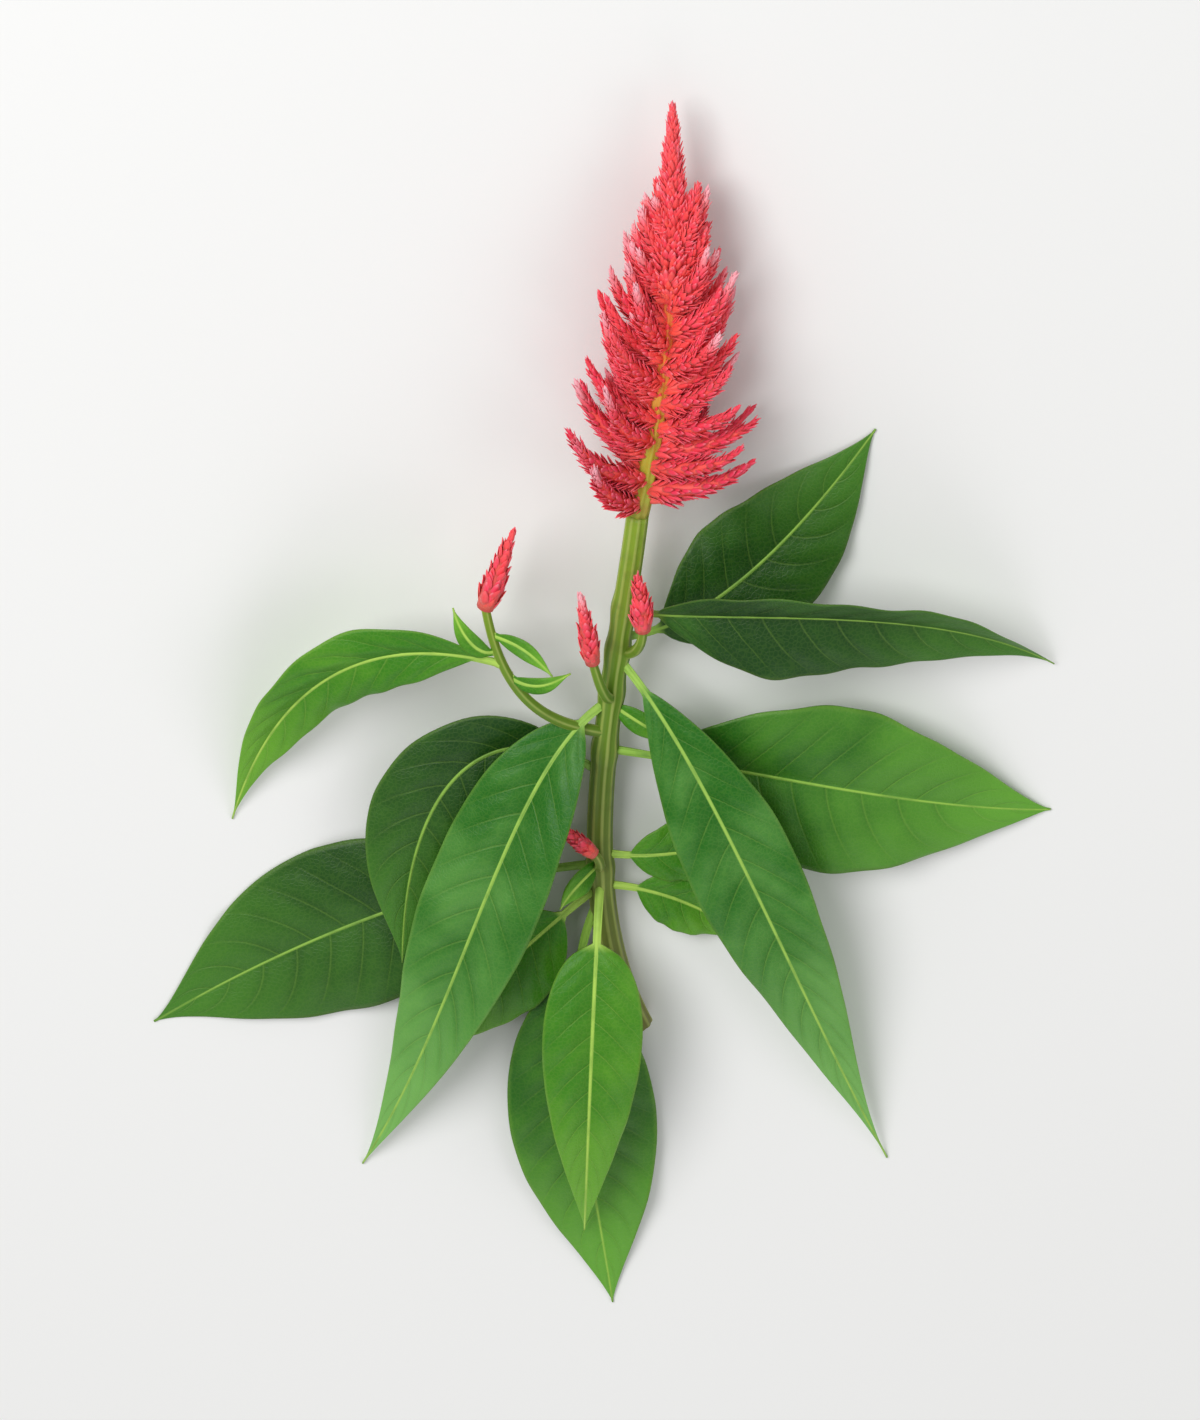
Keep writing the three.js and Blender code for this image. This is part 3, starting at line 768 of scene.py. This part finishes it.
# The skin near the petiole is darker partly as painted shade, and the skin near the tip is paler
# partly as a painted sheen.
LEAF_TONES = {  # the upper skin near the petiole and near the tip, the veins, and the underside
    # This tone, for leaves that lie in the shade of others, is partly a deeper green and partly
    # painted shade.
    "shaded_dark": ((20, 64, 8), (68, 126, 34), (140, 182, 74), (78, 124, 52)),
    "grown": ((30, 102, 12), (122, 184, 90), (160, 200, 88), (92, 140, 60)),
    "ripe": ((34, 96, 14), (100, 166, 50), (150, 194, 78), (84, 132, 54)),
    "fresh": ((54, 124, 14), (112, 176, 44), (176, 212, 92), (110, 160, 62)),
}
skins_of_tone = {
    tone: leaf_skins(tone, *[srgb(*hue) for hue in hues]) for tone, hues in LEAF_TONES.items()
}

for leaf in LEAVES:
    bm = leaf_mesh()
    add_leaf(bm, leaf, round(leaf_line(leaf).length / LEAF_STEP), LEAF_COLUMNS)
    finished(leaf["name"] + "_blade", bm, skins_of_tone[leaf["tone"]], "leaf", [leaf["name"]])

bm = leaf_mesh()
for root, rise, fall, tip, width in SMALL_LEAVES:
    leaf = {"root": root, "rise": rise, "fall": fall, "tip": tip, "width": width, **SMALL_LEAF_FORM}
    add_leaf(bm, leaf, rows=16, columns=6, quilted=False)
finished("stem_small_leaves", bm, skins_of_tone["fresh"], "leaf", ["stem"])

# Plume.
# A ribbed juicy axis, yellow-green at its foot and orange above, carries side
# branches packed with dry, pointed, coral-pink scales; a cone of them tops it.
PLUME_RADIUS = 26.0
PLUME_BRANCHES = 62
BRANCH_FOOT = 0.015  # share of the axis at which the lowest branch leaves it
BRANCH_TOP = 0.74  # and the highest, above which the scales sit on the axis itself
BRANCH_CROWDING = 0.92  # under 1, they stand closer near the top
WIDEST = 0.24
FOOT_REACH = 0.75  # reach at the foot, as a share of the plume's widest
TAPER_POWER = 0.92  # 1 would be a straight cone above the widest part, less is rounder
TIP_LEAD = 0.13  # share of the plume's length by which a branch's tip is ahead of its root
SLOPE_AT_FOOT = 60  # degrees between a branch and the axis
SLOPE_AT_TOP = 27
SLOPE_EASE = 0.8  # under 1, most of the change comes near the foot
ELBOW_OUT = 0.7  # where a branch turns up, as shares of its way out and of its way ahead
ELBOW_AHEAD = 0.3
ELBOW_CLEARANCE = 2.4  # heights above the table under which no branch sinks
TIP_CLEARANCE = 1.2
UNEVEN_REACH = 0.13  # share by which branches are longer or shorter than their neighbours
UNEVEN_SLOPE = 9  # degrees by which they spread more or less
UNEVEN_TURN = 0.3  # radians by which they stray from an even spiral
PARTING = 0.7  # radians by which the branches part on the upper side, so that the axis shows
GOLDEN_ANGLE = 2.39996
PLUME_LINE = GrowthLine((4.2, 119.4, 17.5), (13, 160, 21), (14.3, 203, 20), (13.3, 239.5, 12))


def scatter(n, salt):
    """A fixed scatter between -1 and 1 for the nth piece, the same on every run."""
    return 2 * ((sin(n * 12.9898 + salt * 78.233) * 43758.5453) % 1.0) - 1


def plume_reach(share):
    """How far branches reach from the axis, where their tips end at a share of its length."""
    if share < WIDEST:
        return PLUME_RADIUS * mix(FOOT_REACH, 1, share / WIDEST)
    return PLUME_RADIUS * (1 - clamp01((share - WIDEST) / (1 - WIDEST))) ** TAPER_POWER


def flame(share):
    """A side branch is thick near its root and drawn out to a point."""
    return sin(pi * mix(0.28, 0.97, share) ** 0.8)


def branch_turn(n):
    """The way round the axis at which the nth branch stands, as an angle from the right side."""
    from_top = (n * GOLDEN_ANGLE + UNEVEN_TURN * scatter(n, 1) + pi) % (2 * pi) - pi
    away = abs(from_top)
    parted = mix(PARTING, pi / 2, away / (pi / 2)) if away < pi / 2 else away
    return (parted if from_top > 0 else -parted) - pi / 2


def branch_line(n, count, stretch=1.0):
    """A side branch: it spreads wide at the foot, stands steeper towards the top, and turns up."""
    rank = (n + 0.5) / count
    share = mix(BRANCH_FOOT, BRANCH_TOP, rank**BRANCH_CROWDING)
    root = PLUME_LINE.mm(share)
    ahead = PLUME_LINE.ahead(share)
    out = Quaternion(ahead, branch_turn(n)) @ ahead.cross(UP).normalized()
    spread = mix(SLOPE_AT_FOOT, SLOPE_AT_TOP, rank**SLOPE_EASE)
    slope = radians(spread + UNEVEN_SLOPE * scatter(n, 2))
    reach = stretch * plume_reach(share + TIP_LEAD) * (1 + UNEVEN_REACH * scatter(n, 3))
    length = reach / sin(slope)
    tip = root + length * (sin(slope) * out + cos(slope) * ahead)
    elbow = root + length * (ELBOW_OUT * sin(slope) * out + ELBOW_AHEAD * cos(slope) * ahead)
    elbow.z = max(elbow.z, ELBOW_CLEARANCE)
    tip.z = max(tip.z, TIP_CLEARANCE)
    return GrowthLine(root, elbow, tip)


SCALE_CUP = 0.34  # how far a scale's margins rise, as a share of its half width
SCALE_BEND = 0.1  # how far its tip rises, as a share of its width
SCALE_THICKNESS = 0.14
SCALE_CLEARANCE = 0.1
CROWDING = 1.2  # above 1, scales stand closer near a branch's root, where it is thick
LAST_SCALE = 0.98  # share of a branch at which its last scale sits
TIP_LEAN = 5  # degrees between a scale and its branch at the branch's tip
TIP_SIZE = 0.7  # size of the scales there, as a share of those at its root
UNEVEN_PLACE = 0.4  # radians by which scales stray from an even spiral
UNEVEN_LEAN = 10  # degrees by which they lean more or less
UNEVEN_SIZE = 0.26


def scale_form():
    """One dry scale of a floret: a cupped lance, a unit long, on a grid of its own."""
    bm = bmesh.new()
    uv_layer = bm.loops.layers.uv.new("UVMap")
    bmesh.ops.create_grid(bm, x_segments=2, y_segments=3, size=1.0)
    for face in bm.faces:
        for loop in face.loops:
            loop[uv_layer].uv = (0.5 + 0.5 * loop.vert.co.x, 0.5 + 0.5 * loop.vert.co.y)
    for vert in bm.verts:
        across, along = vert.co.x, 0.5 + 0.5 * vert.co.y
        half = 0.5 * max(0.05, sin(pi * (0.16 + 0.84 * along) ** 0.9) ** 0.8)
        rise = SCALE_CUP * half * across * across + SCALE_BEND * along * along
        vert.co = Vector((across * half, along, rise))
    mesh = bpy.data.meshes.new("scale_form")
    bm.to_mesh(mesh)
    bm.free()
    return mesh


SCALE = scale_form()
SCALE_VERTS = len(SCALE.vertices)


def scales_mesh():
    """An empty bmesh for scales, with the tint and the UV map that their material reads."""
    bm = bmesh.new()
    tint_layer = bm.verts.layers.float_color.new("tint")
    bm.loops.layers.uv.new("UVMap")
    return bm, tint_layer


def add_scale(bm, tint_layer, root, ahead, out, length, width, tint):
    """Sets one scale on its branch, its hollow side inwards."""
    bm.from_mesh(SCALE)
    bm.verts.ensure_lookup_table()
    right = ahead.cross(out).normalized()
    back = right.cross(ahead)
    for vert in bm.verts[-SCALE_VERTS:]:
        across, along, rise = vert.co
        place = across * width * right + along * length * ahead - rise * width * back
        vert.co = root + MM * place
        vert.co.z = max(vert.co.z, SCALE_CLEARANCE * MM)
        vert[tint_layer] = tint


def dress_branch(
    bm, tint_layer, line, body_at, seed, up=None, *, count, start, length, width, lean
):
    """Winds scales round a branch's body in a golden spiral, open below and closed at its tip.

    The tint holds a scale's own chance, how far up the plume its branch stands, how far out on
    the branch it sits, and the branch's chance.
    """
    for n in range(count):
        share = mix(start, LAST_SCALE, ((n + 0.5) / count) ** CROWDING)
        ahead = line.ahead(share)
        way_round = seed + n * GOLDEN_ANGLE + UNEVEN_PLACE * scatter(n, seed + 3)
        out = Quaternion(ahead, way_round) @ ahead.cross(UP).normalized()
        slope = radians(mix(lean, TIP_LEAN, share) + UNEVEN_LEAN * scatter(n, seed + 4))
        points = (cos(slope) * ahead + sin(slope) * out).normalized()
        size = mix(1.0, TIP_SIZE, share) * (1 + UNEVEN_SIZE * scatter(n, seed + 5))
        root = line.place(share) + MM * body_at(share) * out
        chance = 0.5 + 0.5 * scatter(n, seed + 6)
        branch_chance = 0.5 + 0.5 * scatter(seed, 9)
        tint = (chance, share if up is None else up, share, branch_chance)
        add_scale(bm, tint_layer, root, points, out, length * size, width * size, tint)


floret_skin, tree, shader = principled(
    "coral_scales",
    0.45,
    Specular_IOR_Level=0.32,
    Sheen_Weight=0.3,
    Sheen_Roughness=0.4,
    Sheen_Tint=(1.0, 0.45, 0.45, 1.0),
)
uv = add_node(tree, "ShaderNodeUVMap", uv_map="UVMap").outputs[0]
split = add_node(tree, "ShaderNodeSeparateXYZ", ((0, uv),))
side = reckon(tree, "ABSOLUTE", reckon(tree, "SUBTRACT", split.outputs[0], 0.5))
along = split.outputs[1]
tint = add_node(tree, "ShaderNodeAttribute", attribute_name="tint")
tints = add_node(tree, "ShaderNodeSeparateColor", ((0, tint.outputs["Color"]),))
chance, up_plume, out_branch = tints.outputs[0], tints.outputs[1], tints.outputs[2]
pale_branch = in_range(tree, tint.outputs["Alpha"], 0.5, 0.8)
# Pale pink outer ends on some branches: partly paler scales and partly a painted highlight.
pale_tip_and_highlight = times(tree, in_range(tree, out_branch, 0.68, 0.98), pale_branch)
pale_end = times(tree, in_range(tree, along, 0.6, 1.0), in_range(tree, chance, 0.35, 1.0))
up_foot = in_range(tree, up_plume, 0.05, 0.45)
hue = blend_colours(tree, up_foot, srgb(238, 62, 84), srgb(255, 78, 88))
for share, tone in (
    (in_range(tree, up_plume, 0.5, 0.9), (255, 86, 88)),
    (in_range(tree, out_branch, 0.3, 0.0, 0.0, 0.45), (255, 112, 72)),
    (in_range(tree, chance, 0.2, 0.9, 0.0, 0.35), (255, 66, 118)),
    (times(tree, pale_tip_and_highlight, 0.75), (255, 208, 218)),
    (times(tree, pale_end, 0.35), (255, 196, 206)),
    (times(tree, in_range(tree, side, 0.3, 0.5), 0.12), (255, 160, 172)),
    (times(tree, in_range(tree, along, 0.3, 0.0), 0.4), (246, 128, 84)),
):
    hue = blend_colours(tree, share, hue, srgb(*tone))
tree.links.new(hue, shader.inputs["Base Color"])
drawn_out = add_node(tree, "ShaderNodeMapping", (("Vector", uv), ("Scale", (9.0, 0.6, 1.0))))
bump(tree, shader, noise(tree, drawn_out.outputs[0], 2.0, 2.0), 0.3, 0.0002)

axis_skin, tree, shader = principled("plume_axis_skin", 0.45)
place = own_place(tree)
skin = use_group(tree, plant_skin, (("Vector", place), ("Streak Scale", 900.0)))
hue = along_flower(
    tree,
    place,
    (
        (0.55, (150, 172, 66)),
        (0.66, (176, 176, 56)),
        (0.76, (232, 150, 70)),
        (0.88, (238, 120, 72)),
        (1.0, (236, 84, 84)),
    ),
)
hue = mottled(tree, skin, hue, srgb(196, 92, 52), 0.45, 0.75, 0.3)
tree.links.new(hue, shader.inputs["Base Color"])
bump(tree, shader, skin["Height"], 0.35, 0.0003)

twig_skin, tree, shader = principled("plume_twig_skin", 0.5)
place = own_place(tree)
skin = use_group(tree, plant_skin, (("Vector", place), ("Streak Scale", 900.0)))
hue = along_flower(tree, place, ((0.55, (228, 92, 84)), (0.7, (255, 96, 90)), (1.0, (255, 92, 92))))
hue = mottled(tree, skin, hue, srgb(222, 70, 76), 0.45, 0.75, 0.3)
tree.links.new(hue, shader.inputs["Base Color"])

BODY_RADII = (2.5, 1.8)  # at which scales sit on a branch, at the plume's foot and at its top
TWIG_RADII = (2.3, 1.6)  # of the twig itself
TWIG_SIDES = 8
INNER_BRANCHES = 40
INNER_REACH = 0.7  # of the inner branches, as a share of the outer ones'
INNER_BODY_RADIUS = 1.4
INNER_TWIG_RADIUS = 1.3
AXIS_BODY_RADIUS = 2.4
AXIS_TIP_RADIUS = 0.4
CROWN_FOOT = 0.55  # share of the plume's length where the crown starts
CROWN_RADIUS = 6.8
CROWN_TIP_RADIUS = 0.3
MAIN_SCALES = {"count": 114, "start": 0.04, "length": 4.4, "width": 1.65, "lean": 25}
INNER_SCALES = {"count": 34, "start": 0.3, "length": 4.0, "width": 1.7, "lean": 30}
AXIS_SCALES = {"count": 150, "start": 0.2, "length": 3.8, "width": 1.5, "lean": 42}
CROWN_SCALES = {"count": 1150, "start": 0.02, "length": 4.7, "width": 1.7, "lean": 34}


def branch_body(thickest):
    """The radius along a branch that is so thick at its thickest."""
    return lambda share: thickest * flame(share)


def axis_body(share):
    return mix(NECK_RADIUS, AXIS_TIP_RADIUS, share**1.2)


def axis_scales_body(share):
    return mix(AXIS_BODY_RADIUS, AXIS_TIP_RADIUS, share)


def crown_body(share):
    return mix(CROWN_RADIUS, CROWN_TIP_RADIUS, share**0.8) * clamp01(0.4 + 4 * share)


def finished_scales(name, bm, node):
    """A piece of coral scales on their twigs, in which each has the thickness of a dry skin."""
    piece = finished(name, bm, [floret_skin, twig_skin], "plume", [node])
    wall = piece.modifiers.new("thin_wall", "SOLIDIFY")
    wall.thickness = SCALE_THICKNESS * MM
    wall.offset = 0.0


bm = bmesh.new()
add_rod(bm, PLUME_LINE, axis_body, sides=48, steps=70, ribs=8, depth=0.07)
finished("plume_axis", bm, [axis_skin], "plume", ["plume"])

branches = [branch_line(n, PLUME_BRANCHES) for n in range(PLUME_BRANCHES)]
middle = PLUME_BRANCHES // 2
for name, first, last in (
    ("plume_low_branches", 0, middle), ("plume_high_branches", middle, PLUME_BRANCHES)
):
    bm, tint_layer = scales_mesh()
    for n in range(first, last):
        up = n / PLUME_BRANCHES
        body = branch_body(mix(*BODY_RADII, up))
        dress_branch(bm, tint_layer, branches[n], body, seed=n, up=up, **MAIN_SCALES)
    for n in range(first, last):
        twig = branch_body(mix(*TWIG_RADII, n / PLUME_BRANCHES))
        add_rod(bm, branches[n], twig, TWIG_SIDES, steps=6, material=1)
    finished_scales(name, bm, "plume")

inner = [branch_line(n + 0.5, INNER_BRANCHES, INNER_REACH) for n in range(INNER_BRANCHES)]
bm, tint_layer = scales_mesh()
body = branch_body(INNER_BODY_RADIUS)
for n, line in enumerate(inner):
    dress_branch(bm, tint_layer, line, body, seed=n + 200, up=n / INNER_BRANCHES, **INNER_SCALES)
dress_branch(bm, tint_layer, PLUME_LINE, axis_scales_body, seed=400, **AXIS_SCALES)
for line in inner:
    add_rod(bm, line, branch_body(INNER_TWIG_RADIUS), TWIG_SIDES, steps=5, material=1)
finished_scales("plume_inner_branches", bm, "plume")

crown = GrowthLine(*[PLUME_LINE.mm(share) for share in (CROWN_FOOT, (CROWN_FOOT + 1) / 2, 1.0)])
bm, tint_layer = scales_mesh()
dress_branch(bm, tint_layer, crown, crown_body, seed=7, up=0.9, **CROWN_SCALES)
add_rod(bm, crown, crown_body, sides=16, steps=20, material=1)
finished_scales("plume_crown", bm, "plume")

# Small side spikes.
# Young flower spikes at the leaf axils and on the side shoot: slim spindles
# of the same coral scales, still closed, each on the tip of its stalk.
SPIKES = (  # foot, tip and radius
    ("spike_side_shoot", (-37.2, 95, 26.2), (-29.8, 118.8, 28.5), 3.6),
    ("spike_front_left", (-8, 76, 23.4), (-11.2, 97.8, 27), 3.0),
    ("spike_front_right", (5.7, 86.6, 23.8), (4.3, 105, 28), 3.3),
    ("spike_low", (-7.6, 11.5, 17.2), (-17.2, 21.5, 19.5), 2.5),
)
SPIKE_SCALES = {"count": 84, "start": 0.03, "width": 2.3, "lean": 15}
SPIKE_SCALE_LENGTH = 4.4
FULL_SPIKE = 20.0  # a spike shorter than this has shorter scales
SPIKE_BODY = 0.76  # where scales sit on it, as a share of its radius
SPIKE_TWIG = 0.74

for number, (name, foot, tip, radius) in enumerate(SPIKES):
    line = GrowthLine(foot, tip)
    length = SPIKE_SCALE_LENGTH * min(1.0, line.length / (FULL_SPIKE * MM))
    body = branch_body(SPIKE_BODY * radius)
    bm, tint_layer = scales_mesh()
    dress_branch(bm, tint_layer, line, body, seed=31 + number, length=length, **SPIKE_SCALES)
    add_rod(bm, line, branch_body(SPIKE_TWIG * radius), sides=12, steps=10, material=1)
    finished_scales(name + "_scales", bm, name)
